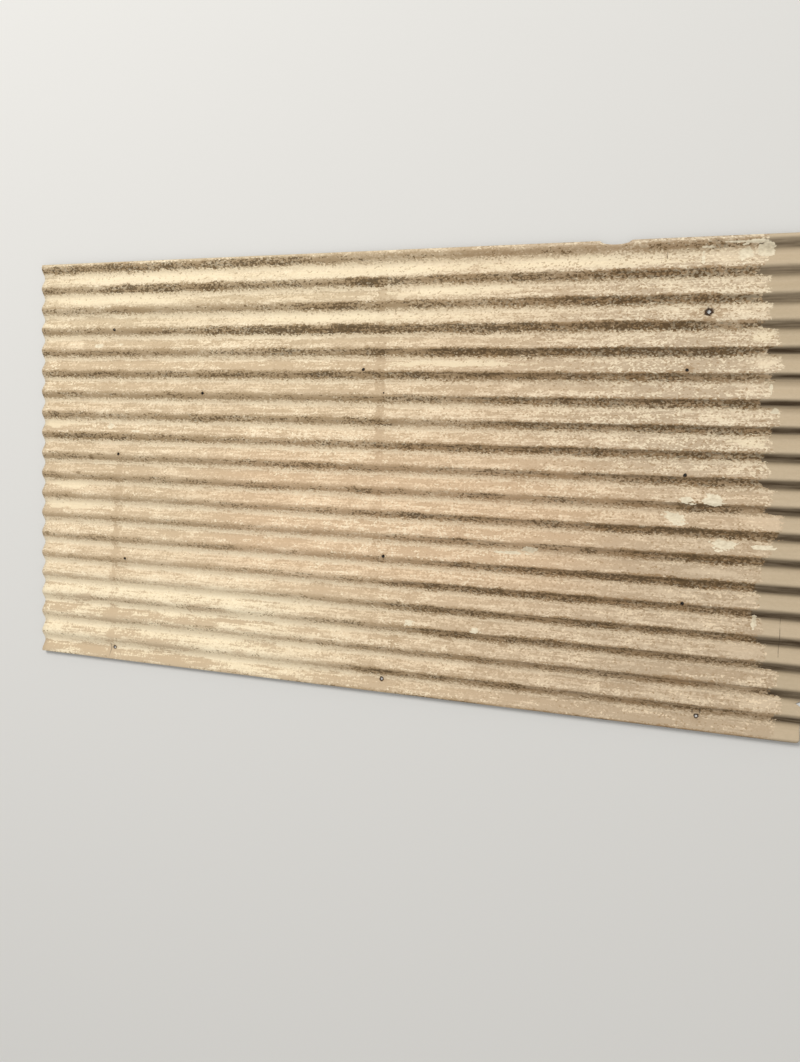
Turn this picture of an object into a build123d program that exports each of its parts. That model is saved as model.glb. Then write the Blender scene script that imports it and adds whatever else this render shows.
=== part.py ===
from build123d import *
import math
import os

# A used galvanised corrugated sheet, lying flat with the face seen in the photograph up.
# +X runs along the waves, +Y across them towards the edge shown at the top, +Z up.
# The origin is on the floor, under the middle of the sheet. Sizes are millimetres and degrees.

sheet_length = 2700.0
sheet_thickness = 0.6

# The rolled section: round crests and troughs joined by straight flanks.
# Both long edges end just past a crest.
wave_pitch = 76.2
wave_depth = 19.0
wave_radius = 18.0
full_waves = 19
top_lip = 11.4
bottom_lip = 3.8

# The sheet was nailed to a batten near each end and to one in the middle
batten_from_end = 345.0

# The holes that the nails left
nail_hole_diameter = 8.0
torn_hole_side = 11.0
torn_hole_turn = 50.0
torn_hole_radius = 2.0
pin_hole_diameter = 4.0

# The damage to the outline: a worn corner and a tear beside it at the right-hand end,
# and a shallow dip in the edge shown at the top
corner_radius = 12.0
tear_depth = 16.0
tear_width = 20.0
tear_wave = 17.55
dip_length = 96.0
dip_depth = 12.0
dip_from_right_end = 600.0

sheet_width = top_lip + full_waves * wave_pitch + bottom_lip
first_crest = sheet_width / 2 - top_lip

left_batten = batten_from_end - sheet_length / 2
middle_batten = 0.0
right_batten = sheet_length / 2 - batten_from_end

# Each hole: its batten, how far along the sheet the nail missed the batten's middle,
# and its place across, counted in waves from the first crest.
# The nail at 348 past the left batten is a stray one.
nail_holes = [
    (left_batten, -23.0, 3.05),
    (left_batten, 348.0, 6.0),
    (left_batten, -3.0, 8.95),
    (left_batten, 29.0, 14.0),
    (left_batten, -23.0, 18.5),
    (middle_batten, -50.0, 4.9),
    (middle_batten, 41.0, 13.0),
    (middle_batten, 44.0, 18.5),
    (right_batten, -30.0, 4.9),
    (right_batten, -18.0, 8.95),
    (right_batten, -4.0, 14.0),
    (right_batten, 55.0, 18.5),
]
torn_holes = [(right_batten, 21.0, 2.66)]
pin_holes = [(middle_batten, 24.0, 5.9)]

# The flank angle at which the two radii and the flank between them add up to half a wave
quarter_wave = wave_pitch / 4
bend_centre = wave_radius - (wave_depth - sheet_thickness) / 2
flank_angle = math.asin(wave_radius / math.hypot(quarter_wave, bend_centre)) - math.atan2(
    bend_centre, quarter_wave
)
fold_height = quarter_wave * math.tan(flank_angle)


def folds():
    """The points where the straight flanks would meet, from before the first crest on."""
    for half_wave in range(-1, 2 * full_waves + 2):
        side = 1 if half_wave % 2 == 0 else -1
        yield (first_crest - half_wave * wave_pitch / 2, wave_depth / 2 + side * fold_height)


def above(holes):
    """The points well above the sheet that the tools of these holes start from."""
    for batten, miss, wave in holes:
        yield (batten + miss, first_crest - wave * wave_pitch, 2 * wave_depth)


with BuildPart() as corrugated_sheet:
    # The wave is drawn a little past both long edges
    with BuildSketch(Plane.YZ.offset(-sheet_length / 2)) as section:
        with BuildLine():
            FilletPolyline(*folds(), radius=wave_radius)
        trace(line_width=sheet_thickness)
    extrude(amount=sheet_length)

    # The outline trims it to its width and takes the damaged places out
    with BuildSketch(Plane.XY.offset(-wave_depth)) as outline:
        Rectangle(sheet_length, sheet_width)
        fillet(outline.vertices().filter_by(lambda v: v.X > 0 and v.Y < 0), radius=corner_radius)
        with Locations((sheet_length / 2 - tear_depth, first_crest - tear_wave * wave_pitch)):
            Polygon(
                (0, 0),
                (2 * tear_depth, -tear_width),
                (2 * tear_depth, tear_width),
                align=None,
                mode=Mode.SUBTRACT,
            )
        with Locations((sheet_length / 2 - dip_from_right_end, sheet_width / 2)):
            Ellipse(dip_length / 2, dip_depth, mode=Mode.SUBTRACT)
    extrude(amount=3 * wave_depth, mode=Mode.INTERSECT)

    with Locations(*above(nail_holes)):
        Hole(radius=nail_hole_diameter / 2)
    with Locations(*above(pin_holes)):
        Hole(radius=pin_hole_diameter / 2)

    # One nail tore its hole out to a rough diamond
    with BuildSketch(Plane.XY.offset(-wave_depth)) as torn:
        with Locations(*[(x, y) for x, y, start in above(torn_holes)]):
            Rectangle(torn_hole_side, torn_hole_side, rotation=torn_hole_turn)
        fillet(torn.vertices(), radius=torn_hole_radius)
    extrude(amount=3 * wave_depth, mode=Mode.SUBTRACT)

corrugated_sheet.part.label = "corrugated_sheet"
os.makedirs("parts", exist_ok=True)
export_step(corrugated_sheet.part, "parts/corrugated_sheet.step")
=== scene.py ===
# %% [markdown]
# # A weathered corrugated sheet
# The object is one galvanised steel sheet, rolled into even round waves, with the dirt, white rust
# and nail holes of a long life on a roof. The sizes come from the CAD part, which is loaded first
# and stays as it is. Everything below dresses that part: a mesh for its skin, a node material for
# its weathering, and a plain studio round it.

# %% Load the part and keep its box
import bpy, bmesh
import math
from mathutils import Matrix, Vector, noise


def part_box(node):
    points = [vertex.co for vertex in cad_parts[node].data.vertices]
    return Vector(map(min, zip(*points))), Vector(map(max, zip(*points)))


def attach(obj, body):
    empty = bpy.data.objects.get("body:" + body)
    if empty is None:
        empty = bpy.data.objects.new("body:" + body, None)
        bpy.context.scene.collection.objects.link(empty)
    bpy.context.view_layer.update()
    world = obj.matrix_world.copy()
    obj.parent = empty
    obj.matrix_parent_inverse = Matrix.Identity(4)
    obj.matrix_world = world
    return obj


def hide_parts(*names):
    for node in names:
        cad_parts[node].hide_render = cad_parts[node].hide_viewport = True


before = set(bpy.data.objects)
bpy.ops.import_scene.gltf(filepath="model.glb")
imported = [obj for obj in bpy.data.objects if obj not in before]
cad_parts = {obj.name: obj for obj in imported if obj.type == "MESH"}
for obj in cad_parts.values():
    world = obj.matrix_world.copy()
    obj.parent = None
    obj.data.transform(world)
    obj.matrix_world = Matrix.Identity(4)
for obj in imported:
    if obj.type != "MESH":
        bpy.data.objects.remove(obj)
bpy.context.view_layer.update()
cad_low, cad_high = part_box("corrugated_sheet")
print("CAD box, metres:", [round(c, 4) for c in (*cad_low, *cad_high)])

# %% [markdown]
# ## The rolled section
# A rolling mill bends flat sheet into crests and troughs of one radius, joined by straight flanks.
# Height is therefore a function of the place across the sheet alone, which is measured here in
# waves: 0 is the first crest, by the edge that the photograph shows at the top, and 0.5 is the
# trough after it. A formula for the upper face is exact at any point, so the mesh can be as fine or
# as coarse as each place needs.

# %% Sizes of the section
sheet_length = cad_high.x - cad_low.x
sheet_width = cad_high.y - cad_low.y
thickness = 0.0006
pitch = 0.0762
depth = 0.019
bend_radius = 0.018
top_lip = 0.0114

first_crest_y = sheet_width / 2 - top_lip
top_edge = -top_lip / pitch
bottom_edge = (sheet_width - top_lip) / pitch
print("the long edges are at waves", round(top_edge, 2), "and", round(bottom_edge, 2))

# %% The upper face's height across the waves
# Two bends and the flank between them add up to half a wave at this flank angle
quarter_wave = pitch / 4
bend_centre = bend_radius - (depth - thickness) / 2
centre_angle = math.atan2(bend_centre, quarter_wave)
exact_angle = math.asin(bend_radius / math.hypot(quarter_wave, bend_centre)) - centre_angle
flank_angle = math.radians(round(math.degrees(exact_angle), 2))
crest_radius = bend_radius + thickness / 2
trough_radius = bend_radius - thickness / 2
crest_reach = crest_radius * math.sin(flank_angle)
trough_reach = trough_radius * math.sin(flank_angle)


def rolled_height(wave):
    """Height of the upper face above the floor."""
    from_crest = abs(wave - round(wave)) * pitch
    from_trough = pitch / 2 - from_crest
    if from_crest <= crest_reach:
        return depth - crest_radius + math.sqrt(crest_radius**2 - from_crest**2)
    if from_trough <= trough_reach:
        return thickness + trough_radius - math.sqrt(trough_radius**2 - from_trough**2)
    flank_top = depth - crest_radius * (1 - math.cos(flank_angle))
    return flank_top - (from_crest - crest_reach) * math.tan(flank_angle)


for name, wave in (("crest", 3.0), ("flank", 3.25), ("trough", 3.5)):
    print("height of a", name, round(rolled_height(wave), 4))

# %% [markdown]
# ## Nail holes and damage
# The sheet was nailed to three battens, and each nail left a hole with a shallow dimple round it.
# One nail tore its hole out to a diamond. The right-hand end has a worn corner with a tear beside
# it, and the long edge by the first crest has a shallow dip. All of these are at the places the
# CAD part has them: distance from the left-hand end in metres, and place across in waves. They are
# listed once, so that the mesh and the stains at the holes use the same places.

# %% Places of the holes and of the damaged edges
nail_holes = [
    (0.322, 3.05), (0.693, 6.0), (0.342, 8.95), (0.374, 14.0), (0.322, 18.5), (1.300, 4.9),
    (1.391, 13.0), (1.394, 18.5), (2.325, 4.9), (2.337, 8.95), (2.351, 14.0), (2.410, 18.5),
]
torn_hole = (2.376, 2.66)
pin_hole = (1.374, 5.9)
nail_hole_radius = 0.004
pin_hole_radius = 0.002
torn_hole_side = 0.011
torn_hole_turn = math.radians(50)
# The rounded corners of the torn hole end this far from its middle
torn_corner_reach = 0.0069

corner_radius = 0.012
tear_depth, tear_width, tear_wave = 0.016, 0.020, 17.55
dip_at, dip_length, dip_depth = 2.1, 0.096, 0.012


def hole_reach(kind, angle):
    """How far a hole's rim is from its centre in one direction."""
    if kind == "nail":
        return nail_hole_radius
    if kind == "pin":
        return pin_hole_radius
    turned = angle - torn_hole_turn
    side = torn_hole_side / 2 / max(abs(math.cos(turned)), abs(math.sin(turned)))
    return min(side, torn_corner_reach)


holes = [("nail", *place) for place in nail_holes] + [("torn", *torn_hole), ("pin", *pin_hole)]
print(len(holes), "holes")

# %% [markdown]
# ## From a place on the sheet to a point in space
# One function turns a place, distance along and wave number, into a point of the upper face. It
# first pulls the mesh in at the worn corner, the tear and the dip, so that rows of the mesh follow
# the damaged outline. Then it adds what years of handling do: crests that wander by a millimetre or
# so, crests trodden slightly flat, a dimple at each nail, and the bent lip of the tear. All of that
# only lowers crests or lifts troughs, so the sheet never leaves the box of the CAD part.

# %% How far the damaged edges are worn back
tear_pull_in = 0.060
dip_pull_waves = 0.45


def falling(distance, reach):
    """1 at the place itself, going smoothly to 0 at the reach."""
    t = max(0.0, 1.0 - distance / reach)
    return t * t * (3 - 2 * t)


def end_inset(wave):
    """How far the right-hand end is worn back at this place across."""
    from_bottom = (bottom_edge - wave) * pitch
    worn = 0.0
    if from_bottom < corner_radius:
        worn = corner_radius - math.sqrt(max(0.0, corner_radius**2 - (corner_radius - from_bottom) ** 2))
    torn = tear_depth * max(0.0, 1 - abs(wave - tear_wave) * pitch / (tear_width / 2))
    return max(worn, torn)


def dip_inset(along):
    """How far the edge by the first crest dips at this distance along."""
    across_dip = (along - dip_at) / (dip_length / 2)
    return dip_depth * math.sqrt(max(0.0, 1 - across_dip**2))


def pulled_in(along, wave):
    """The place after the mesh is pulled in to follow the damaged edges."""
    from_end = sheet_length - along
    along = along - end_inset(wave) * max(0.0, 1 - from_end / tear_pull_in)
    pulled = dip_inset(along) * max(0.0, 1 - (wave - top_edge) / dip_pull_waves)
    return along, wave + pulled / pitch


print("worn back at the tear:", round(end_inset(tear_wave), 4), "at the dip:", round(dip_inset(dip_at), 4))

# %% Height lost to feet and handling
usual_loss, loss_swing, most_lost = 0.03, 0.02, 0.6
dent_length_to_width = 1.6
dents = [
    # along, wave, reach, share of the height lost
    (0.07, 11.2, 0.07, 0.5), (0.50, 7.0, 0.10, 0.3), (1.39, 1.0, 0.09, 0.35), (1.39, 4.0, 0.06, 0.4),
    (1.92, 9.0, 0.12, 0.25), (2.10, 0.0, 0.10, 0.5), (0.95, 16.0, 0.12, 0.3), (2.56, 12.0, 0.08, 0.3),
]


def ripple(along, wave, per_metre, per_wave, seed):
    """A smooth random change between about -1 and 1, the same on every run."""
    return noise.noise(Vector((along * per_metre, wave * per_wave, seed)))


def lost_height(along, wave):
    """How much of its height the section has lost here, as a share."""
    slow = ripple(along, wave, 1.7, 0.35, 3.1)
    quick = ripple(along, wave, 6.0, 1.1, 8.7)
    lost = usual_loss + loss_swing * slow + loss_swing * quick
    for dent_along, dent_wave, reach, share in dents:
        away = math.hypot(along - dent_along, (wave - dent_wave) * pitch * dent_length_to_width)
        lost += share * falling(away, reach)
    return min(lost, most_lost)


print("height lost on crest 9 at 1.92 m:", round(lost_height(1.92, 9.0), 2))

# %% The worn upper face
middle_height = depth / 2
dimple_reach, dimple_depth = 0.020, 0.0016
lip_wave, lip_half_width = 17.42, 0.16
lip_reach, lip_lift = 0.045, 0.0045
wander_size, wander_fade = 0.0016, 1.5


def worn_height(along, wave):
    """Height of the upper face with its dents, its dimples and the lip of the tear."""
    height = rolled_height(wave)
    height += (middle_height - height) * lost_height(along, wave)
    for kind, hole_along, hole_wave in holes:
        away = math.hypot(along - hole_along, (wave - hole_wave) * pitch)
        if away < dimple_reach:
            towards = 1 if height < middle_height else -1
            height += towards * dimple_depth * falling(away, dimple_reach)
    lip = falling(abs(wave - lip_wave), lip_half_width) * falling(sheet_length - along, lip_reach)
    return height + lip_lift * lip


def worn_point(along, wave):
    """The point of the upper face at a place, and the wave number it ends up at."""
    along, wave = pulled_in(along, wave)
    edge_fade = min(1.0, (wave - top_edge) / wander_fade, (bottom_edge - wave) / wander_fade)
    wander = wander_size * ripple(along, wave, 1.3, 0.45, 0.0) * max(0.0, edge_fade)
    y = first_crest_y - wave * pitch + wander
    return Vector((along - sheet_length / 2, y, worn_height(along, wave))), wave


print("a point on crest 9:", [round(c, 4) for c in worn_point(1.0, 9.0)[0]])

# %% [markdown]
# ## The mesh
# A plain grid suits a rolled sheet: rows run along the waves, close enough to draw the curve, and
# columns can stand far apart because the sheet is straight that way. Extra rows and columns go only
# where the outline is damaged. At each hole a block of the grid is left out and filled with rings
# that run from the round hole to the square block. A boolean cut would be quicker to write, but its
# slivers would shade badly round each rim.

# %% Rows of the grid
rows_per_wave = 14
row_gap = 0.018
waves_from_bottom = (0.0, 0.02, 0.06)


def merged(regular, special, gap):
    """Regular values without those that crowd a special one, and the special ones, in order."""
    kept = [r for r in regular if all(abs(r - s) > gap for s in special)]
    return sorted(kept + list(special))


tear_half = tear_width / 2 / pitch
first_row, last_row = int(top_edge * rows_per_wave), int(bottom_edge * rows_per_wave)
inner_rows = [k / rows_per_wave for k in range(first_row, last_row + 1)]
special_rows = [top_edge] + [bottom_edge - back for back in waves_from_bottom]
special_rows += [tear_wave + k * tear_half / 2 for k in (-2, -1, 0, 1, 2)]
rows = merged(inner_rows, special_rows, row_gap)
print(len(rows), "rows")

# %% Columns of the grid
column_step = 0.027
column_gap = 0.007
end_margin = 0.00005
metres_from_end = (end_margin, 0.004, 0.009, tear_depth, 0.026, 0.040)

inner_columns = [k * column_step for k in range(1, int(sheet_length / column_step))]
special_columns = [end_margin] + [sheet_length - back for back in metres_from_end]
special_columns += [dip_at + k * dip_length / 10 for k in range(-5, 6)]
columns = merged(inner_columns, special_columns, column_gap)
print(len(columns), "columns")

# %% Points of the grid
mesh = bmesh.new()
wave_layer = mesh.verts.layers.float.new("wave")
along_layer = mesh.verts.layers.float.new("along")


def add_point(along, wave):
    """A vertex of the upper face that remembers its place on the sheet."""
    point, true_wave = worn_point(along, wave)
    vertex = mesh.verts.new(point)
    vertex[wave_layer] = true_wave
    vertex[along_layer] = point.x + sheet_length / 2
    return vertex


grid = [[add_point(along, wave) for along in columns] for wave in rows]
print("points in the grid:", len(mesh.verts))

# %% Faces of the grid, with a block left out at each hole
patch_half = 0.012


def block_round(place, lines, half):
    """The first and last grid line of the block that leaves room round a place."""
    first = max(k for k, line in enumerate(lines) if line < place - half)
    last = min(k for k, line in enumerate(lines) if line > place + half)
    return first, last


blocks = []
for kind, along, wave in holes:
    c0, c1 = block_round(along, columns, patch_half)
    r0, r1 = block_round(wave, rows, patch_half / pitch)
    blocks.append((r0, r1, c0, c1))

for r in range(len(rows) - 1):
    for c in range(len(columns) - 1):
        if any(r0 <= r < r1 and c0 <= c < c1 for r0, r1, c0, c1 in blocks):
            continue
        mesh.faces.new((grid[r + 1][c], grid[r + 1][c + 1], grid[r][c + 1], grid[r][c]))
print("grid faces:", len(mesh.faces))

# %% Rings round a hole
ring_points = 24
ring_count = 4
ring_limit = patch_half * 0.95
# Above 1, the rings are closer together by the rim than by the block
ring_growth = 1.3
ring_shares = [(k / ring_count) ** ring_growth for k in range(ring_count + 1)]


def ring_vertices(kind, along, wave, share):
    """One ring: share 0 is the hole's rim and 1 is the circle inside the block."""
    made = []
    for k in range(ring_points):
        angle = 2 * math.pi * k / ring_points
        reach = hole_reach(kind, angle) * (1 - share) + ring_limit * share
        made.append(add_point(along + reach * math.cos(angle), wave - reach * math.sin(angle) / pitch))
    return made


print("rings at", [round(share, 2) for share in ring_shares], "of the way from the rim")

# %% Triangles between the last ring and the block


def turn_of(vertex, centre):
    """The direction of a vertex from the centre, from 0 to a full turn."""
    return math.atan2(vertex.co.y - centre.y, vertex.co.x - centre.x) % (2 * math.pi)


def closed_loop(vertices, centre):
    """The vertices and their directions in order, with the first one again at the end."""
    loop = sorted(vertices, key=lambda v: turn_of(v, centre))
    turns = [turn_of(v, centre) for v in loop]
    return loop + loop[:1], turns + [turns[0] + 2 * math.pi]


def fill_between(inner, outer, centre):
    """Triangles between a ring and the loop outside it, made while going round both."""
    inner, inner_turns = closed_loop(inner, centre)
    outer, outer_turns = closed_loop(outer, centre)
    i = o = 0
    while i < len(inner) - 1 or o < len(outer) - 1:
        inner_left = i < len(inner) - 1
        outer_left = o < len(outer) - 1
        if inner_left and (not outer_left or inner_turns[i + 1] <= outer_turns[o + 1]):
            mesh.faces.new((inner[i], outer[o], inner[i + 1]))
            i += 1
        else:
            mesh.faces.new((inner[i], outer[o], outer[o + 1]))
            o += 1


for (kind, along, wave), (r0, r1, c0, c1) in zip(holes, blocks):
    rings = [ring_vertices(kind, along, wave, share) for share in ring_shares]
    for inner, outer in zip(rings, rings[1:]):
        for k in range(ring_points):
            n = (k + 1) % ring_points
            mesh.faces.new((inner[k], outer[k], outer[n], inner[n]))
    edge_loop = [grid[r0][c] for c in range(c0, c1)] + [grid[r][c1] for r in range(r0, r1)]
    edge_loop += [grid[r1][c] for c in range(c1, c0, -1)] + [grid[r][c0] for r in range(r1, r0, -1)]
    fill_between(rings[-1], edge_loop, worn_point(along, wave)[0])
print("faces with the holes filled in:", len(mesh.faces))

# %% Loose points out, and every face turned up
bmesh.ops.delete(mesh, geom=[v for v in mesh.verts if not v.link_faces], context="VERTS")
bmesh.ops.recalc_face_normals(mesh, faces=mesh.faces)
if sum(f.normal.z for f in mesh.faces) < 0:
    bmesh.ops.reverse_faces(mesh, faces=mesh.faces)
print("points left:", len(mesh.verts))

# %% [markdown]
# ## Where the dirt lies
# Rain runs down the waves and leaves grit along one flank of each crest. How thick it lies differs from
# wave to wave and along each wave. That is a slow change, so it can be stored on the mesh's points as a
# number from 0 to 1, and the material adds everything that is finer. The thickness is a gentle random
# drift, with the heavy and the thin stretches that the photograph shows added from a list.

# %% Heavy and thin stretches of dirt
heavy_stretches = [
    # wave, from, to, how much more or less than usual
    (0, 0.00, 1.00, 0.15), (0, 1.25, 2.70, -0.30), (1, 0.25, 0.60, 0.20), (1, 1.24, 1.40, 0.30),
    (1, 1.76, 2.10, 0.10), (2, 0.00, 0.80, -0.10), (2, 1.10, 1.32, 0.15), (2, 1.72, 2.18, 0.28),
    (3, 0.68, 2.35, 0.25), (3, 1.23, 1.45, 0.12), (4, 1.33, 1.41, 0.35), (4, 1.50, 2.45, 0.24),
    (5, 0.70, 0.88, 0.15), (5, 0.95, 2.50, 0.10), (6, 1.26, 1.40, -0.15), (6, 1.95, 2.50, 0.20),
    (7, 1.32, 1.38, 0.15), (7, 1.70, 2.50, 0.15), (8, 0.00, 0.24, 0.12), (8, 1.15, 1.50, 0.10),
    (8, 2.00, 2.55, 0.12), (9, 2.05, 2.42, 0.10), (10, 0.88, 1.02, 0.10), (10, 1.03, 1.27, -0.20),
    (10, 1.28, 1.50, 0.12), (10, 1.76, 2.30, -0.15), (10, 2.35, 2.43, 0.35), (11, 0.00, 0.80, -0.10),
    (11, 1.22, 1.50, 0.12), (11, 2.07, 2.60, 0.20), (12, 0.00, 1.35, -0.12), (12, 2.35, 2.60, 0.20),
    (13, 1.15, 1.33, -0.15), (13, 1.60, 2.60, 0.20), (14, 1.43, 2.65, 0.25), (15, 0.00, 1.30, -0.15),
    (15, 1.45, 2.60, 0.12), (16, 0.90, 1.33, 0.08), (16, 1.55, 1.68, 0.20), (16, 1.74, 2.05, 0.15),
    (17, 0.00, 0.90, -0.08), (17, 0.96, 1.34, 0.12), (18, 0.00, 1.20, -0.12), (18, 1.30, 1.46, 0.30),
    (18, 1.46, 1.90, 0.10),
]
stretch_fade = 0.10
print("stretches:", len(heavy_stretches))

# %% Thickness of the dirt
# A band of dirt starts this many waves above its crest
crest_lead = 0.30


def usual_dirt(wave):
    """Most dirt lies on the upper third, least near the bottom."""
    if wave < 5.5:
        return 0.52
    if wave < 13.5:
        return 0.47
    return 0.42


def dirt_thickness(along, wave):
    """How thick the dirt lies here, from 0 to 1."""
    band = math.floor(wave + crest_lead)
    amount = usual_dirt(wave)
    amount += 0.20 * ripple(along, band, 2.3, 3.7, 1.0)
    amount += 0.10 * ripple(along, band, 9.0, 5.1, 4.0)
    for stretch_wave, start, end, more in heavy_stretches:
        if band == stretch_wave:
            inside = min(along - start, end - along)
            amount += more * min(1.0, max(0.0, inside / stretch_fade + 0.5))
    return min(1.0, max(0.0, amount))


print("dirt at 2 m on crest 3:", round(dirt_thickness(2.0, 3.0), 2))

# %% [markdown]
# ## Where the clean end starts
# The right-hand end lay under the next sheet and stayed clean. Its border is at a different place on
# every wave, so there is one distance for each wave, and the points store how far past it they are.
# The border changes from one distance to the next on the flank, where a step shows least.

# %% Border of the clean end
border_step = 0.29
clean_from = [
    2.515, 2.530, 2.535, 2.565, 2.575, 2.550, 2.580, 2.560, 2.560, 2.575,
    2.610, 2.585, 2.560, 2.555, 2.570, 2.585, 2.620, 2.640, 2.620,
]


def past_border(along, wave):
    """How far past the border of the clean end a place is, negative before it."""
    border_wave = math.floor(wave - border_step)
    return along - clean_from[min(len(clean_from) - 1, max(0, border_wave))]


print("border from", min(clean_from), "to", max(clean_from), "m along")

# %% Store both numbers and make the object
dirt_layer = mesh.verts.layers.float.new("dirt")
border_layer = mesh.verts.layers.float.new("past_border")
for vertex in mesh.verts:
    vertex[dirt_layer] = dirt_thickness(vertex[along_layer], vertex[wave_layer])
    vertex[border_layer] = past_border(vertex[along_layer], vertex[wave_layer])

skin = bpy.data.meshes.new("sheet_skin")
mesh.to_mesh(skin)
mesh.free()
skin.polygons.foreach_set("use_smooth", [True] * len(skin.polygons))
sheet = bpy.data.objects.new("sheet_skin", skin)
bpy.context.scene.collection.objects.link(sheet)
stored = [attribute.name for attribute in skin.attributes if attribute.domain == "POINT"]
print("points:", len(skin.vertices), "stored values:", stored)

# %% [markdown]
# ## Thickness
# The mesh so far is the upper face. Both faces could be modelled, but Solidify adds the steel below
# in one step and leaves the upper face exactly where it was made. It takes a hair less than the
# full 0.6 mm, to keep the underside within the box of the CAD part. The underside and the cut edges
# take the second material.

# %% Give the skin its steel thickness
share_of_thickness = 0.97
steel = sheet.modifiers.new("steel_thickness", "SOLIDIFY")
steel.thickness = thickness * share_of_thickness
steel.offset = -1
steel.material_offset = 1
steel.material_offset_rim = 1
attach(sheet, "root")
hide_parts("corrugated_sheet")
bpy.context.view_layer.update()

# %% [markdown]
# ## Small helpers for node materials
# A node material is a recipe: patterns made from a place on the surface, sharpened or mixed. These
# helpers keep each step of the recipe to one line. Colours are written as they look on a screen,
# from 0 to 255, and turned into the linear values that the renderer works with.

# %% Colours as they look on a screen


def paint(red, green, blue):
    """A screen colour as the renderer's linear colour."""
    linear = []
    for part in (red, green, blue):
        linear.append(part / 255 / 12.92 if part <= 10 else ((part / 255 + 0.055) / 1.055) ** 2.4)
    return (*linear, 1.0)


print("screen grey 128 in linear light:", round(paint(128, 128, 128)[0], 3))

# %% Helpers that add nodes


class Recipe:
    """The nodes of a material or of the surround, with short calls for those used here."""

    def __init__(self, owner):
        owner.use_nodes = True
        self.owner = owner
        self.tree = owner.node_tree
        self.shader = self.tree.nodes.get("Principled BSDF") or self.tree.nodes["Background"]

    def node(self, kind, **settings):
        """A new node of one kind, with its settings."""
        made = self.tree.nodes.new("ShaderNode" + kind)
        for name, value in settings.items():
            setattr(made, name, value)
        return made

    def put(self, socket, value):
        """Links a socket to another one, or gives it a plain value."""
        if isinstance(value, bpy.types.NodeSocket):
            self.tree.links.new(value, socket)
        else:
            socket.default_value = value

    def stored(self, name):
        """A number that is stored on the mesh's points."""
        return self.node("Attribute", attribute_name=name).outputs["Fac"]

    def math(self, how, a, b=0.0, c=0.0, clamp=False):
        """One step of arithmetic."""
        made = self.node("Math", operation=how, use_clamp=clamp)
        for socket, value in zip(made.inputs, (a, b, c)):
            self.put(socket, value)
        return made.outputs[0]

    def add(self, a, b):
        return self.math("ADD", a, b)

    def minus(self, a, b):
        return self.math("SUBTRACT", a, b)

    def times(self, a, b):
        return self.math("MULTIPLY", a, b)

    def rest(self, share):
        """What a share leaves of 1."""
        return self.math("SUBTRACT", 1.0, share)

    def total(self, *parts):
        """The sum of any number of values, each given alone or with its weight."""
        result = 0.0
        for part in parts:
            value, weight = part if isinstance(part, tuple) else (part, 1.0)
            result = self.math("MULTIPLY_ADD", value, weight, result)
        return result

    def step(self, value, low, high):
        """0 below low, 1 above high, smooth between."""
        made = self.node("MapRange", interpolation_type="SMOOTHSTEP")
        for key, given in (("Value", value), ("From Min", low), ("From Max", high)):
            self.put(made.inputs[key], given)
        return made.outputs["Result"]

    def fade(self, value, low, high):
        """1 below low, 0 above high, smooth between."""
        return self.rest(self.step(value, low, high))

    def hump(self, value, rise, fall):
        """Up from 0 to 1 over the first range of values, and down again over the second."""
        return self.times(self.step(value, *rise), self.fade(value, *fall))

    def vector(self, x, y, z=0.0):
        made = self.node("CombineXYZ")
        for socket, value in zip(made.inputs, (x, y, z)):
            self.put(socket, value)
        return made.outputs[0]

    def grain(self, where, scale, detail=3.0, rough=0.6):
        """A cloudy random pattern from 0 to 1, with so many clouds in a unit."""
        made = self.node("TexNoise")
        for key, given in (("Vector", where), ("Scale", scale), ("Detail", detail), ("Roughness", rough)):
            self.put(made.inputs[key], given)
        return made.outputs["Fac"]

    def blend(self, share, a, b):
        """Colour a, turning into colour b as the share goes from 0 to 1."""
        made = self.node("Mix", data_type="RGBA")
        for key, given in (("Factor", share), ("A", a), ("B", b)):
            self.put(made.inputs[key], given)
        return made.outputs["Result"]

    def lay_on(self, tone, layers):
        """Coats laid over a tone in order. Each has its place, how well it covers, and its colour."""
        for where, cover, colour in layers:
            tone = self.blend(self.times(where, cover), tone, colour)
        return tone


print("calls:", ", ".join(name for name in vars(Recipe) if not name.startswith("_")))

# %% [markdown]
# ## The weathered face
# On the real sheet the zinc has gone dull and slightly warm. On top of it lie a film of white rust in
# ragged patches, a brown wash and dark grit along one flank of each crest, a cleaner end that once lay
# under the next sheet, and a few splashes of cement and stains at the nails. Some light and shade is
# painted in as well: part of the dark line under each crest and of the darker flanks by the right-hand end,
# the dark stripes on the clean end, the dark rings at the holes in the troughs, a shadow on the lower
# right, and part of the lighter tone of the left-hand half. Each is made as a mask first, a number from 0
# to 1, and then the colours are laid on in order. Every mask takes its place from the stored distance and
# wave number, so it follows the waves of the sheet.

# %% Places on the sheet
face = Recipe(bpy.data.materials.new("weathered_zinc"))
along = face.stored("along")
wave = face.stored("wave")
dirt = face.stored("dirt")
across = face.times(wave, pitch)
past_crest = face.minus(face.math("FRACT", face.add(wave, crest_lead)), crest_lead)
print("past_crest is 0 on a crest and 0.5 in a trough")

# %% Cloudy patterns


def pattern(seed, per_metre, drawn_out, detail=2.0, rough=0.6):
    """A random pattern centred on zero, so many times longer along the waves than across them."""
    where = face.vector(face.times(along, 1 / drawn_out), across, seed)
    return face.minus(face.grain(where, per_metre, detail, rough), 0.5)


fine_grain = pattern(0.4, 110, 1.5, detail=1.0, rough=0.8)
grit_cluster = pattern(1.1, 34, 2.6, detail=2.5)
rust_cluster = pattern(1.4, 40, 3.2, detail=2.5)
rust_patch = pattern(1.9, 20, 4.5, detail=2.0)
streak = pattern(1.7, 150, 18, detail=2.0)
drift = pattern(2.1, 6, 2.0, detail=1.0, rough=0.5)
drip = pattern(2.5, 3.0, 0.06, detail=2.0)
print("nodes after the patterns:", len(face.tree.nodes))

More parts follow.
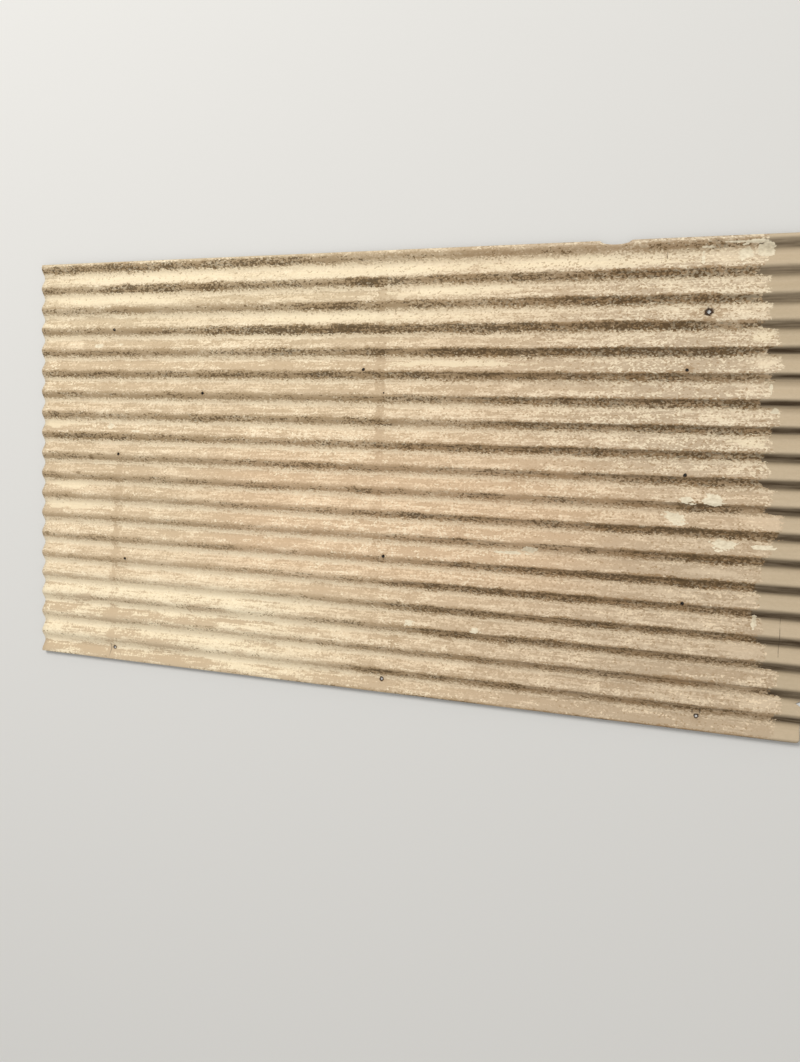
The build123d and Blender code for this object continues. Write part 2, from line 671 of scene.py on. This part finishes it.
# %% [markdown]
# ## Specks
# Grit and crumbs are single specks with sharp edges, which a cloudy pattern can't give. So the face
# is divided into small cells, each with three random numbers of its own, here called lucks. A cell
# turns to grit where its luck is below the share of grit wanted there, and crumbs are made the same
# way with the second luck. One more luck is the same all along a wave, and sets the waves apart.

# %% Lucks of the cells and of the waves
speck_size, speck_drawn_out = 0.0043, 1.4
specks = face.node("TexVoronoi")
face.put(specks.inputs["Scale"], 1 / speck_size)
face.put(specks.inputs["Vector"], face.vector(face.times(along, 1 / speck_drawn_out), across, 0.3))
speck_lucks = face.node("SeparateColor")
face.put(speck_lucks.inputs[0], specks.outputs["Color"])
grit_luck, crumb_luck, tone_luck = speck_lucks.outputs

wave_noise = face.node("TexWhiteNoise", noise_dimensions="1D")
face.put(wave_noise.inputs["W"], face.math("FLOOR", face.minus(wave, border_step)))
wave_luck = wave_noise.outputs["Value"]
print("cells of", round(speck_size * speck_drawn_out, 4), "by", speck_size, "m")

# %% [markdown]
# ## Parts of the sheet that differ
# The weather did not treat the whole sheet alike, and the light did not fall on it alike. These masks stand
# for its larger parts, each with wide soft borders, so that patterns and colours can shift a little from
# one part to the next. The lower right one carries a painted shadow.
# They could be painted by hand, but steps on the two stored numbers need no picture.

# %% Masks of the larger parts
upper_waves = face.fade(wave, 2.5, 4.5)
below_top = face.step(wave, 1.4, 2.4)
right_half = face.step(along, 0.9, 2.3)
lower_left = face.times(face.step(wave, 8.5, 15.5), face.fade(along, 0.9, 1.6))
lower_left_wide = face.times(face.step(wave, 7.5, 10.0), face.fade(along, 1.3, 1.9))
bottom_left = face.times(face.step(wave, 14.3, 15.6), face.fade(along, 0.8, 1.4))
# This mask paints the shadow on the lower right: a greyer tone and fewer crumbs there.
lower_right_painted_shadow = face.times(face.step(wave, 9.5, 13.0), face.step(along, 1.5, 2.3))
upper_right = face.times(face.fade(wave, 8.0, 11.0), face.step(along, 1.6, 2.3))
middle = face.times(face.hump(wave, (6.5, 10.0), (13.0, 15.5)), face.hump(along, (0.5, 1.0), (1.8, 2.4)))
# Near the right-hand end the band below each crest gets wider and grittier, partly as dirt and partly as
# painted shade on the flank that turns away from the light.
right_flanks_dirt_and_shade = face.times(face.step(along, 2.05, 2.40), face.step(past_crest, 0.03, 0.12))
print("nodes after the masks of the parts:", len(face.tree.nodes))

# %% [markdown]
# ## Marks of the battens
# Where the sheet lay on its battens it stayed drier. Two of them left a plain strip across the
# waves with less white rust: one in the middle, and one near the left-hand end in the lower half.
# Each is made from the distance to its middle line, so one helper serves both.

# %% Two batten strips
strip_half, strip_rim = 0.016, 0.004
middle_strip_at = 1.357
left_strip_at, left_strip_lean = 0.370, -0.0033


def strip(centre):
    """1 within a strip that runs across the waves, with a slightly uneven rim."""
    off_centre = face.math("ABSOLUTE", face.minus(along, face.total(centre, (rust_cluster, 0.03))))
    return face.fade(off_centre, strip_half - strip_rim, strip_half + strip_rim)


fainter_below = face.math("MULTIPLY_ADD", face.step(wave, 7.0, 10.0), -0.65, 1.0)
middle_strip = face.times(strip(middle_strip_at), face.times(fainter_below, face.step(wave, 0.2, 1.4)))
leaning_line = face.math("MULTIPLY_ADD", wave, left_strip_lean, left_strip_at)
left_strip = face.times(strip(leaning_line), face.step(wave, 7.0, 12.0))
strips = face.math("MAXIMUM", middle_strip, face.times(left_strip, 0.8))
print("strips at", middle_strip_at, "m and from", left_strip_at, "m")

# %% [markdown]
# ## The dirt
# The brown wash covers about a third of each wave, from the crest line down. Its two edges are
# limits on the place within the wave, pushed up and down by the patterns. Grit sits in the band as
# dark specks: they crowd where the stored dirt is thick, and elsewhere most lie low in the band.

# %% Edges of the band
speck_shift = face.minus(grit_luck, 0.5)
upper_limit = face.total(
    (grit_cluster, 0.24), (fine_grain, 0.12), (speck_shift, 0.12), (right_half, -0.05), 0.04)
lower_limit = face.total(
    (dirt, 0.10), (rust_cluster, 0.30), (speck_shift, 0.15), (lower_left, -0.05), (right_half, 0.035),
    (right_flanks_dirt_and_shade, 0.012), 0.243)
past_lower_edge = face.minus(past_crest, lower_limit)
below_upper_edge = face.step(face.add(past_crest, upper_limit), -0.06, 0.01)
in_band = face.times(below_upper_edge, face.fade(past_lower_edge, -0.012, 0.016))
crumb_edge = face.hump(past_lower_edge, (-0.03, 0.01), (0.02, 0.10))
faint_edge = face.hump(past_lower_edge, (-0.02, 0.01), (0.00, 0.15))
print("nodes after the band's edges:", len(face.tree.nodes))

# %% The brown wash
patchiness = face.times(rust_patch, face.math("MULTIPLY_ADD", bottom_left, 1.6, 1.0))
wash_strength = face.total(
    (dirt, 0.60), (lower_left, -0.22), (lower_left_wide, -0.08), (patchiness, -1.1),
    (tone_luck, 0.15), 0.40)
wash = face.times(in_band, face.math("MINIMUM", 1.0, wash_strength))
print("nodes after the wash:", len(face.tree.nodes))

# %% Grit in the band, a dark line under the crest that is partly painted shade, and loose pepper
low_in_band = face.step(past_crest, 0.02, 0.24)
grit_share = face.total(
    (grit_cluster, 1.4), (streak, 1.3), (dirt, 1.30), (low_in_band, 0.10), (lower_left, 0.02),
    (lower_left_wide, -0.04), (below_top, -0.10), (right_half, 0.06), (right_flanks_dirt_and_shade, 0.16), -0.32)
within_share = face.minus(grit_share, grit_luck)
grit = face.times(face.step(within_share, -0.03, 0.05), in_band)

# The dark line just under the crest line is partly dirt and partly painted shade, where the flank turns
# away from the light. It is strongest on the right-hand half.
line_level = face.total((right_half, 0.45), dirt, (streak, 1.6), (upper_waves, -0.35))
crest_line_dirt_and_shade = face.times(face.hump(past_crest, (-0.01, 0.04), (0.08, 0.20)), face.step(line_level, 0.45, 1.05))

pepper_share = face.total(
    (upper_waves, 0.05), (right_half, 0.05), (upper_right, 0.06), (bottom_left, 0.05), (rust_cluster, 0.35),
    (crumb_edge, 0.12), 0.02)
pepper = face.step(face.minus(pepper_share, grit_luck), -0.02, 0.03)
print("nodes after the grit:", len(face.tree.nodes))

# %% [markdown]
# ## White rust
# Zinc that dries slowly grows a white film. It lies in ragged patches drawn out along the waves,
# thickest just below the dirt and on the upper waves. Loose crumbs of it glitter where the film is
# thick, most of all along the lower edge of the dirt and towards the right. The film is a sum of
# patterns, cut softly at a level. The crumbs are cells, as the grit is.

# %% Masks of the white film and the crumbs
below_band = face.hump(past_crest, (0.16, 0.32), (0.40, 0.60))
film_level = face.total(
    (fine_grain, 0.32), (rust_cluster, 0.32), (patchiness, 0.34), (streak, 0.55), (crumb_luck, 0.16),
    (below_band, 0.13), (crumb_edge, 0.10), (upper_waves, 0.05), (lower_left, 0.04), (upper_right, -0.04),
    (strips, -0.13), (drift, 0.15), (drip, 0.12), (wave_luck, 0.08), -0.15)
film = face.step(film_level, -0.08, 0.10)
crumb_share = face.total(
    (rust_cluster, 1.3), (streak, 0.8), (drift, 0.8), (below_band, 0.20), (crumb_edge, 0.30),
    (right_half, 0.12), (upper_right, 0.07), (lower_right_painted_shadow, -0.12), (strips, -0.3), 0.05)
crumbs = face.step(face.minus(crumb_share, crumb_luck), -0.02, 0.04)
print("nodes after the white rust:", len(face.tree.nodes))

# %% [markdown]
# ## The clean end
# The zinc of the end that lay under the next sheet is smoother and greyer. The flank below each crest,
# which turns away from the light, gets an even stripe of painted shade. The stored border is roughened by
# the fine patterns, and the luck of each wave makes the stripes of painted shade differ in width.

# %% Mask of the clean end and of its stripes of painted shade
border = face.total((rust_cluster, 0.05), (tone_luck, 0.012), (in_band, -0.02))
clean_end = face.step(face.minus(face.stored("past_border"), border), -0.002, 0.004)
wide_shade = face.math("MAXIMUM", upper_waves, face.step(wave, 7.5, 8.5))
shade_end = face.total((wave_luck, 0.06), (wide_shade, 0.11), 0.185)
not_past_shade = face.fade(face.minus(past_crest, shade_end), -0.06, 0.15)
shade_strength = face.total((wide_shade, -0.12), (upper_waves, -0.24), (streak, 0.8), 0.98)
shade_band = face.times(face.times(face.step(past_crest, -0.09, 0.13), not_past_shade), shade_strength)
print("nodes after the clean end:", len(face.tree.nodes))

# %% [markdown]
# ## Splashes and stains
# Cement splashes, stains at the nails and bare patches have definite places. A spot is an ellipse
# given by its place and its half length and half width. The random patterns push its rim in and
# out, so that it looks dried up like a real splash. All of them are too thin to need a mesh.

# %% Ragged spots from ellipses
# Each spot is its place, along and wave, then half its length in metres and half its width in waves
sheet_place = face.vector(along, wave)
cluster_push, grain_push = 3.2, 1.4


def nearness(spots):
    """0 in the middle of the nearest spot and 1 on its rim."""
    nearest = None
    for spot_along, spot_wave, half_length, half_width in spots:
        from_middle = face.node("VectorMath", operation="MULTIPLY_ADD")
        face.put(from_middle.inputs[0], sheet_place)
        face.put(from_middle.inputs[1], (1 / half_length, 1 / half_width, 1))
        face.put(from_middle.inputs[2], (-spot_along / half_length, -spot_wave / half_width, 0))
        length = face.node("VectorMath", operation="LENGTH")
        face.put(length.inputs[0], from_middle.outputs[0])
        reach = length.outputs["Value"]
        nearest = reach if nearest is None else face.math("MINIMUM", nearest, reach)
    return nearest


def spot_mask(spots, raggedness, rim):
    """1 inside the spots, with a rim that is ragged by so much and soft over so much."""
    pushes = (rust_cluster, cluster_push * raggedness), (fine_grain, grain_push * raggedness)
    return face.fade(face.total(nearness(spots), *pushes), 1.0 - rim, 1.0)


print("a fully ragged rim moves by up to", round(0.5 * (cluster_push + grain_push), 1), "spot sizes")

# %% Cement splashes and pale patches
cement_spots = [
    (2.470, 0.50, 0.016, 0.30), (2.520, 0.42, 0.022, 0.24), (2.352, 0.62, 0.005, 0.26),
    (2.372, 0.24, 0.020, 0.05), (2.430, 0.10, 0.030, 0.04), (2.500, 0.10, 0.030, 0.08),
    (2.560, 5.60, 0.004, 0.25), (2.575, 6.40, 0.012, 0.14), (2.348, 9.93, 0.026, 0.16),
    (2.418, 9.84, 0.028, 0.20), (2.313, 10.66, 0.026, 0.24), (2.458, 11.60, 0.034, 0.22),
    (2.570, 11.62, 0.024, 0.09), (1.880, 12.32, 0.020, 0.15), (1.825, 12.50, 0.060, 0.06),
    (2.555, 14.50, 0.007, 0.30), (1.488, 15.85, 0.016, 0.12), (1.716, 15.85, 0.018, 0.12),
    (0.345, 3.75, 0.012, 0.10), (0.255, 3.78, 0.018, 0.10), (0.300, 7.62, 0.013, 0.14),
    (0.420, 7.85, 0.018, 0.07),
]
pale_spots = [
    (2.412, 0.55, 0.060, 0.30), (2.535, 4.60, 0.050, 0.34), (2.625, 9.80, 0.040, 0.28),
    (2.562, 10.65, 0.060, 0.30), (2.430, 12.70, 0.070, 0.16), (2.535, 13.60, 0.024, 0.26),
    (2.530, 15.60, 0.060, 0.28), (2.590, 17.66, 0.060, 0.24), (1.430, 1.75, 0.018, 0.18),
]
cement = spot_mask(cement_spots, 1.0, 0.12)
pale_patch = spot_mask(pale_spots, 1.0, 0.25)
print("splashes:", len(cement_spots), "pale patches:", len(pale_spots))

# %% Patches with no film, with a smooth film, and with a plain surface
bare_spots = [
    (0.210, 16.15, 0.045, 0.16), (0.675, 16.20, 0.045, 0.22), (0.775, 16.15, 0.025, 0.15),
    (0.715, 16.85, 0.028, 0.16), (0.306, 17.85, 0.020, 0.28), (0.790, 5.15, 0.085, 0.12),
    (1.540, 15.20, 0.075, 0.24), (1.610, 16.22, 0.065, 0.22), (1.780, 16.28, 0.060, 0.20),
    (1.440, 16.85, 0.028, 0.30), (1.370, 4.06, 0.034, 0.20), (1.345, 18.12, 0.060, 0.20),
]
smooth_spots = [
    (0.45, 0.66, 0.50, 0.26), (1.30, 0.68, 0.45, 0.28), (2.00, 0.66, 0.36, 0.28),
    (0.30, 1.62, 0.34, 0.25), (1.60, 1.60, 0.22, 0.22), (1.20, 2.62, 0.40, 0.25),
    (1.62, 4.62, 0.24, 0.20), (0.08, 7.50, 0.12, 0.20), (0.12, 10.50, 0.14, 0.24),
    (0.15, 11.52, 0.16, 0.22), (2.530, 3.62, 0.036, 0.22), (2.540, 4.62, 0.036, 0.26),
    (2.510, 7.62, 0.050, 0.22),
]
plain_spots = [
    (0.25, 2.62, 0.27, 0.24), (0.52, 3.66, 0.33, 0.18), (1.25, 3.64, 0.30, 0.16),
    (2.02, 5.62, 0.30, 0.20), (1.92, 4.66, 0.22, 0.16), (0.30, 5.68, 0.25, 0.14),
    (0.85, 12.62, 0.35, 0.16), (1.95, 8.65, 0.30, 0.16),
]
bare_patch = spot_mask(bare_spots, 0.8, 0.20)
smooth_patch = spot_mask(smooth_spots, 0.8, 0.40)
plain_patch = spot_mask(plain_spots, 0.8, 0.40)
print("bare:", len(bare_spots), "smooth:", len(smooth_spots), "plain:", len(plain_spots))

# %% Stains at the nails, with painted shade at the holes in the troughs
# A hole in a trough gets a wider dark ring. Besides the rust, it is painted shade that stands in for the
# dark gap seen through such a hole.
trough_stain_and_shade_growth = 1.35
hole_sizes = {"nail": nail_hole_radius, "pin": pin_hole_radius, "torn": torn_corner_reach}
hole_spots = []
for kind, at_along, at_wave in holes:
    in_trough = abs(at_wave % 1 - 0.5) < 0.25
    reach = hole_sizes[kind] * (trough_stain_and_shade_growth if in_trough else 1.0)
    hole_spots.append((at_along, at_wave, reach, reach / pitch))

off_hole = face.total(nearness(hole_spots), (fine_grain, 1.2), (tone_luck, 0.3))
hole_stain_and_shade = face.fade(off_hole, 1.25, 1.95)
hole_halo = face.fade(off_hole, 2.0, 5.0)
rusty_spots = [(2.376, 2.66, 0.055, 0.40), (1.391, 13.0, 0.017, 0.22), (2.325, 4.9, 0.016, 0.22)]
rusty_halo = spot_mask(rusty_spots, 0.5, 0.25)
print("stained holes:", len(hole_spots), "with a rusty halo:", len(rusty_spots))

# %% Scratches and smudges
scratch_spots = [
    (1.457, 5.97, 0.055, 0.014), (2.250, 0.50, 0.0016, 0.17), (0.307, 18.62, 0.0018, 0.42),
    (2.627, 15.1, 0.0012, 0.90), (2.405, 18.04, 0.014, 0.020), (2.420, 18.24, 0.0028, 0.24),
    (2.398, 18.30, 0.0022, 0.12),
]
smudge_spots = [(0.220, 9.12, 0.014, 0.12), (0.167, 9.92, 0.012, 0.12), (0.070, 11.25, 0.014, 0.16)]
scratch = spot_mask(scratch_spots, 0.5, 0.35)
smudge = spot_mask(smudge_spots, 1.2, 0.6)
print("scratches:", len(scratch_spots), "smudges:", len(smudge_spots))

# %% [markdown]
# ## Colours laid on in order
# First the bare zinc, then the film, the wash, the grit and the crumbs, then the clean end, and last the
# splashes, stains and scratches, in the order in which they came onto the real sheet. The painted shade
# goes in with them: the dark line under each crest, the stripes on the clean end and the dark rings at the
# holes in the troughs. The upper waves are creamier than the rest, the right-hand half is a little browner
# and darker, the middle warmer, the upper right duller, and the lower right greyer. The lighter left-hand
# half is partly painted daylight, and the greyer lower right is a painted shadow. A list of coats keeps the
# order easy to read and to change.

# %% Bare zinc and white film
# Near colours are for the left-hand half and far ones for the right. The near ones are lighter partly as
# painted daylight.
cream_bare, pink_bare, far_bare = paint(207, 187, 154), paint(205, 182, 149), paint(201, 176, 144)
cream_film, pink_film, far_film = paint(240, 222, 189), paint(236, 215, 182), paint(230, 206, 174)
# The grey colours paint the shadow on the lower right.
shadow_grey_bare, dull_bare, warm_bare = paint(184, 165, 138), paint(196, 178, 151), paint(211, 181, 146)
shadow_grey_film, dull_film, warm_film = paint(208, 190, 162), paint(228, 212, 184), paint(241, 212, 176)
bottom_film = paint(250, 234, 200)

near_film = face.blend(bottom_left, face.blend(upper_waves, pink_film, cream_film), bottom_film)
film_tone = face.blend(right_half, near_film, face.blend(upper_waves, far_film, pink_film))
film_tone = face.lay_on(
    film_tone, [(lower_right_painted_shadow, 0.6, shadow_grey_film), (upper_right, 0.5, dull_film), (middle, 0.55, warm_film)])
bare_tone = face.blend(right_half, face.blend(upper_waves, pink_bare, cream_bare), far_bare)
bare_tone = face.lay_on(
    bare_tone, [(lower_right_painted_shadow, 0.6, shadow_grey_bare), (upper_right, 0.7, dull_bare), (middle, 0.65, warm_bare)])
print("bare zinc and film ready")

# %% Wash, grit and crumbs
# The near wash is lighter than the far one partly as painted daylight on the left-hand half.
near_wash, low_wash, bottom_wash = paint(174, 149, 114), paint(194, 168, 132), paint(208, 186, 153)
far_wash, warm_wash = paint(158, 128, 92), paint(180, 148, 112)
grit_brown, grit_black, low_grit = paint(120, 96, 62), paint(76, 59, 36), paint(152, 129, 96)
near_crumb, far_crumb = paint(252, 236, 204), paint(244, 223, 190)

left_wash = face.blend(bottom_left, face.blend(lower_left, near_wash, low_wash), bottom_wash)
wash_tone = face.lay_on(face.blend(right_half, left_wash, far_wash), [(middle, 0.6, warm_wash)])
grit_tone = face.blend(face.step(within_share, 0.0, 0.5), grit_brown, grit_black)
grit_tone = face.lay_on(grit_tone, [(lower_left, 0.85, low_grit)])
crumb_tone = face.blend(face.minus(right_half, upper_right), near_crumb, far_crumb)
print("wash, grit and crumbs ready")

# %% Coats of the exposed zinc
bare_shade = face.total(
    (streak, 1.2), (drift, 0.9), (tone_luck, 0.25), (drip, 0.6), (wave_luck, 0.25), -0.22)
bare_tone = face.blend(face.math("MULTIPLY_ADD", bare_shade, 0.8, 0.12, clamp=True), bare_tone, wash_tone)
film_cover = face.math("MULTIPLY_ADD", tone_luck, -0.3, 1.0)
bright_cover = face.total((lower_left, 0.20), (right_half, -0.20), 0.40)
faint_cover = face.total((right_half, 0.42), 0.06)
crumb_cover = face.total(
    (in_band, -0.40), (smooth_patch, -0.35), (plain_patch, -0.45), (right_half, -0.10), 0.78)

tone = face.lay_on(bare_tone, [
    (film, film_cover, film_tone),
    (face.times(film, below_band), bright_cover, near_crumb),
    (plain_patch, 0.65, bare_tone),
    (smooth_patch, 0.65, bottom_film),
    (bare_patch, 0.75, bare_tone),
    (rusty_halo, 0.45, wash_tone),
    (faint_edge, faint_cover, wash_tone),
    (wash, 0.95, wash_tone),
    (bare_patch, 0.30, wash_tone),
    (pepper, 0.55, wash_tone),
    (smudge, 0.60, grit_brown),
    (grit, 0.74, grit_tone),
    (pale_patch, 0.60, film_tone),
    (crumbs, face.math("MAXIMUM", crumb_cover, 0.0), crumb_tone),
    (crest_line_dirt_and_shade, 0.50, grit_black),
])
print("exposed zinc ready")

# %% Coats of the clean end, the splashes and the stains
clean_zinc, clean_dull, painted_shade_brown = paint(203, 183, 153), paint(190, 171, 141), paint(66, 51, 33)
cement_white, cement_grey = paint(246, 234, 205), paint(216, 202, 174)
stain_and_shade_brown, mark_black = paint(62, 44, 28), paint(62, 50, 38)

dull_share = face.math("ADD", 0.45, face.total((streak, 0.7), (drift, 1.5), (fine_grain, 0.8)), clamp=True)
# The dark stripes are painted shade on the flank below each crest, which turns away from the light.
clean_tone = face.blend(shade_band, face.blend(dull_share, clean_zinc, clean_dull), painted_shade_brown)
cement_mix = face.math("MULTIPLY_ADD", fine_grain, 2.5, 0.45, clamp=True)
tone = face.lay_on(tone, [
    (clean_end, 1.0, clean_tone),
    (cement, 0.9, face.blend(cement_mix, cement_white, cement_grey)),
    (hole_halo, 0.25, wash_tone),
    (hole_stain_and_shade, 1.0, stain_and_shade_brown),
    (scratch, 0.6, mark_black),
])
face.put(face.shader.inputs["Base Color"], tone)
print("all colours laid on")

# %% [markdown]
# ## Gloss and relief
# Rust and grit scatter light and hardly shine, so the share of light that is mirrored is small all
# over. Roughness does the rest: it is lower on the clean end, where the zinc keeps a little of its
# gloss. Crumbs and grit also stand up by a few tenths of a millimetre, which the material gives as
# relief. It is made from the two finest patterns alone, because relief is worked out three times
# for each point.

# %% Gloss and relief of the face
roughness = face.total((clean_end, -0.16), (film, 0.10), (grit, 0.18), 0.62)
face.put(face.shader.inputs["Roughness"], roughness)
face.shader.inputs["Specular IOR Level"].default_value = 0.18

bump = face.node("Bump")
bump.inputs["Strength"].default_value = 0.5
bump.inputs["Distance"].default_value = 0.0006
face.put(bump.inputs["Height"], face.total((crumb_luck, 0.4), (fine_grain, 1.2)))
face.put(face.shader.inputs["Normal"], bump.outputs["Normal"])
skin.materials.append(face.owner)
print("face nodes:", len(face.tree.nodes))

# %% [markdown]
# ## The underside
# The underside never saw rain. Its zinc keeps a duller, even grey with faint streaks along the
# waves and a little dust, so it needs only two patterns.

# %% Material of the underside and the cut edges
under = Recipe(bpy.data.materials.new("sheltered_zinc"))
under_along = under.stored("along")
under_across = under.times(under.stored("wave"), pitch)
under_streak = under.grain(under.vector(under.times(under_along, 0.1), under_across), 80, detail=3.0)
under_cloud = under.grain(under.vector(under_along, under_across), 14, detail=4.0)
dark_zinc, light_zinc, dust = paint(150, 143, 130), paint(176, 169, 154), paint(128, 116, 98)
under_tone = under.blend(under.step(under_streak, 0.3, 0.7), dark_zinc, light_zinc)
under_tone = under.lay_on(under_tone, [(under.step(under_cloud, 0.5, 0.7), 0.5, dust)])
under.put(under.shader.inputs["Base Color"], under_tone)
under.put(under.shader.inputs["Roughness"], under.total((under_cloud, 0.25), 0.45))
under.shader.inputs["Metallic"].default_value = 0.4
skin.materials.append(under.owner)
print("underside nodes:", len(under.tree.nodes))

# %% [markdown]
# ## Studio
# A plain pale floor, an even pale surround, and one large soft lamp from the side of the edge that
# the photograph shows at the top, which is where its daylight comes from. The surround and the lamp
# together give about the light at which a colour looks as it was written. Where the surround is
# seen directly or mirrored, it is lighter than the light it gives, so that it stays pale.

# %% Floor
floor_half = 12.0
corner_signs = ((-1, -1), (1, -1), (1, 1), (-1, 1))
floor_mesh = bpy.data.meshes.new("floor")
floor_build = bmesh.new()
floor_build.faces.new([floor_build.verts.new((x * floor_half, y * floor_half, 0)) for x, y in corner_signs])
floor_build.to_mesh(floor_mesh)
floor_build.free()
floor = bpy.data.objects.new("floor", floor_mesh)
bpy.context.scene.collection.objects.link(floor)

floor_paint = Recipe(bpy.data.materials.new("pale_floor"))
floor_paint.shader.inputs["Base Color"].default_value = paint(224, 222, 217)
floor_paint.shader.inputs["Roughness"].default_value = 0.9
floor_mesh.materials.append(floor_paint.owner)
print("floor of", 2 * floor_half, "m")

# %% Surround
surround_light, extra_seen = 0.5, 0.35
surround = Recipe(bpy.data.worlds.new("pale_surround"))
surround.shader.inputs["Color"].default_value = (1.0, 1.0, 1.0, 1.0)
ray = surround.node("LightPath")
lighter_rays = ("Is Camera Ray", "Is Glossy Ray", "Is Transmission Ray")
lighter = [(ray.outputs[kind], extra_seen) for kind in lighter_rays]
surround.put(surround.shader.inputs["Strength"], surround.total(*lighter, surround_light))
bpy.context.scene.world = surround.owner
print("surround gives", surround_light, "and looks like", surround_light + extra_seen)

# %% Lamp
lamp_data = bpy.data.lights.new("soft_lamp", "AREA")
lamp_data.shape = "SQUARE"
lamp_data.size = 4.0
lamp_data.energy = 690
lamp = bpy.data.objects.new("soft_lamp", lamp_data)
lamp.location = (-2.6, 6.2, 8.2)
lamp_aim = Vector((-0.2, 0.0, 0.0))
lamp.rotation_euler = (lamp_aim - lamp.location).to_track_quat("-Z", "Y").to_euler()
bpy.context.scene.collection.objects.link(lamp)
bpy.context.scene.view_settings.view_transform = "Standard"
print("lamp", round((lamp_aim - lamp.location).length, 1), "m away")

# %% [markdown]
# ## Camera
# The photograph looks nearly straight at the sheet's face, from over its right-hand half. Here the
# sheet lies flat, so the camera looks down on it with the same turn and tilt. Its place and focal
# length were fitted so that the corners of the sheet fall where they do in the photograph.

# %% Camera over the sheet
photo_height = 1062
focal_pixels = 900
camera_data = bpy.data.cameras.new("camera")
camera_data.sensor_width = 36.0
camera_data.lens = focal_pixels / photo_height * camera_data.sensor_width
camera = bpy.data.objects.new("camera", camera_data)
camera.location = (1.051, 0.0766, 2.831)
camera.rotation_euler = (-0.0756, 0.3294, 0.03465)
bpy.context.scene.collection.objects.link(camera)
bpy.context.scene.camera = camera
print("lens:", round(camera_data.lens, 1), "mm")

# %% [markdown]
# ## Last step
# The CAD part's box is printed when the part is loaded; the dressed sheet's box is not written down.
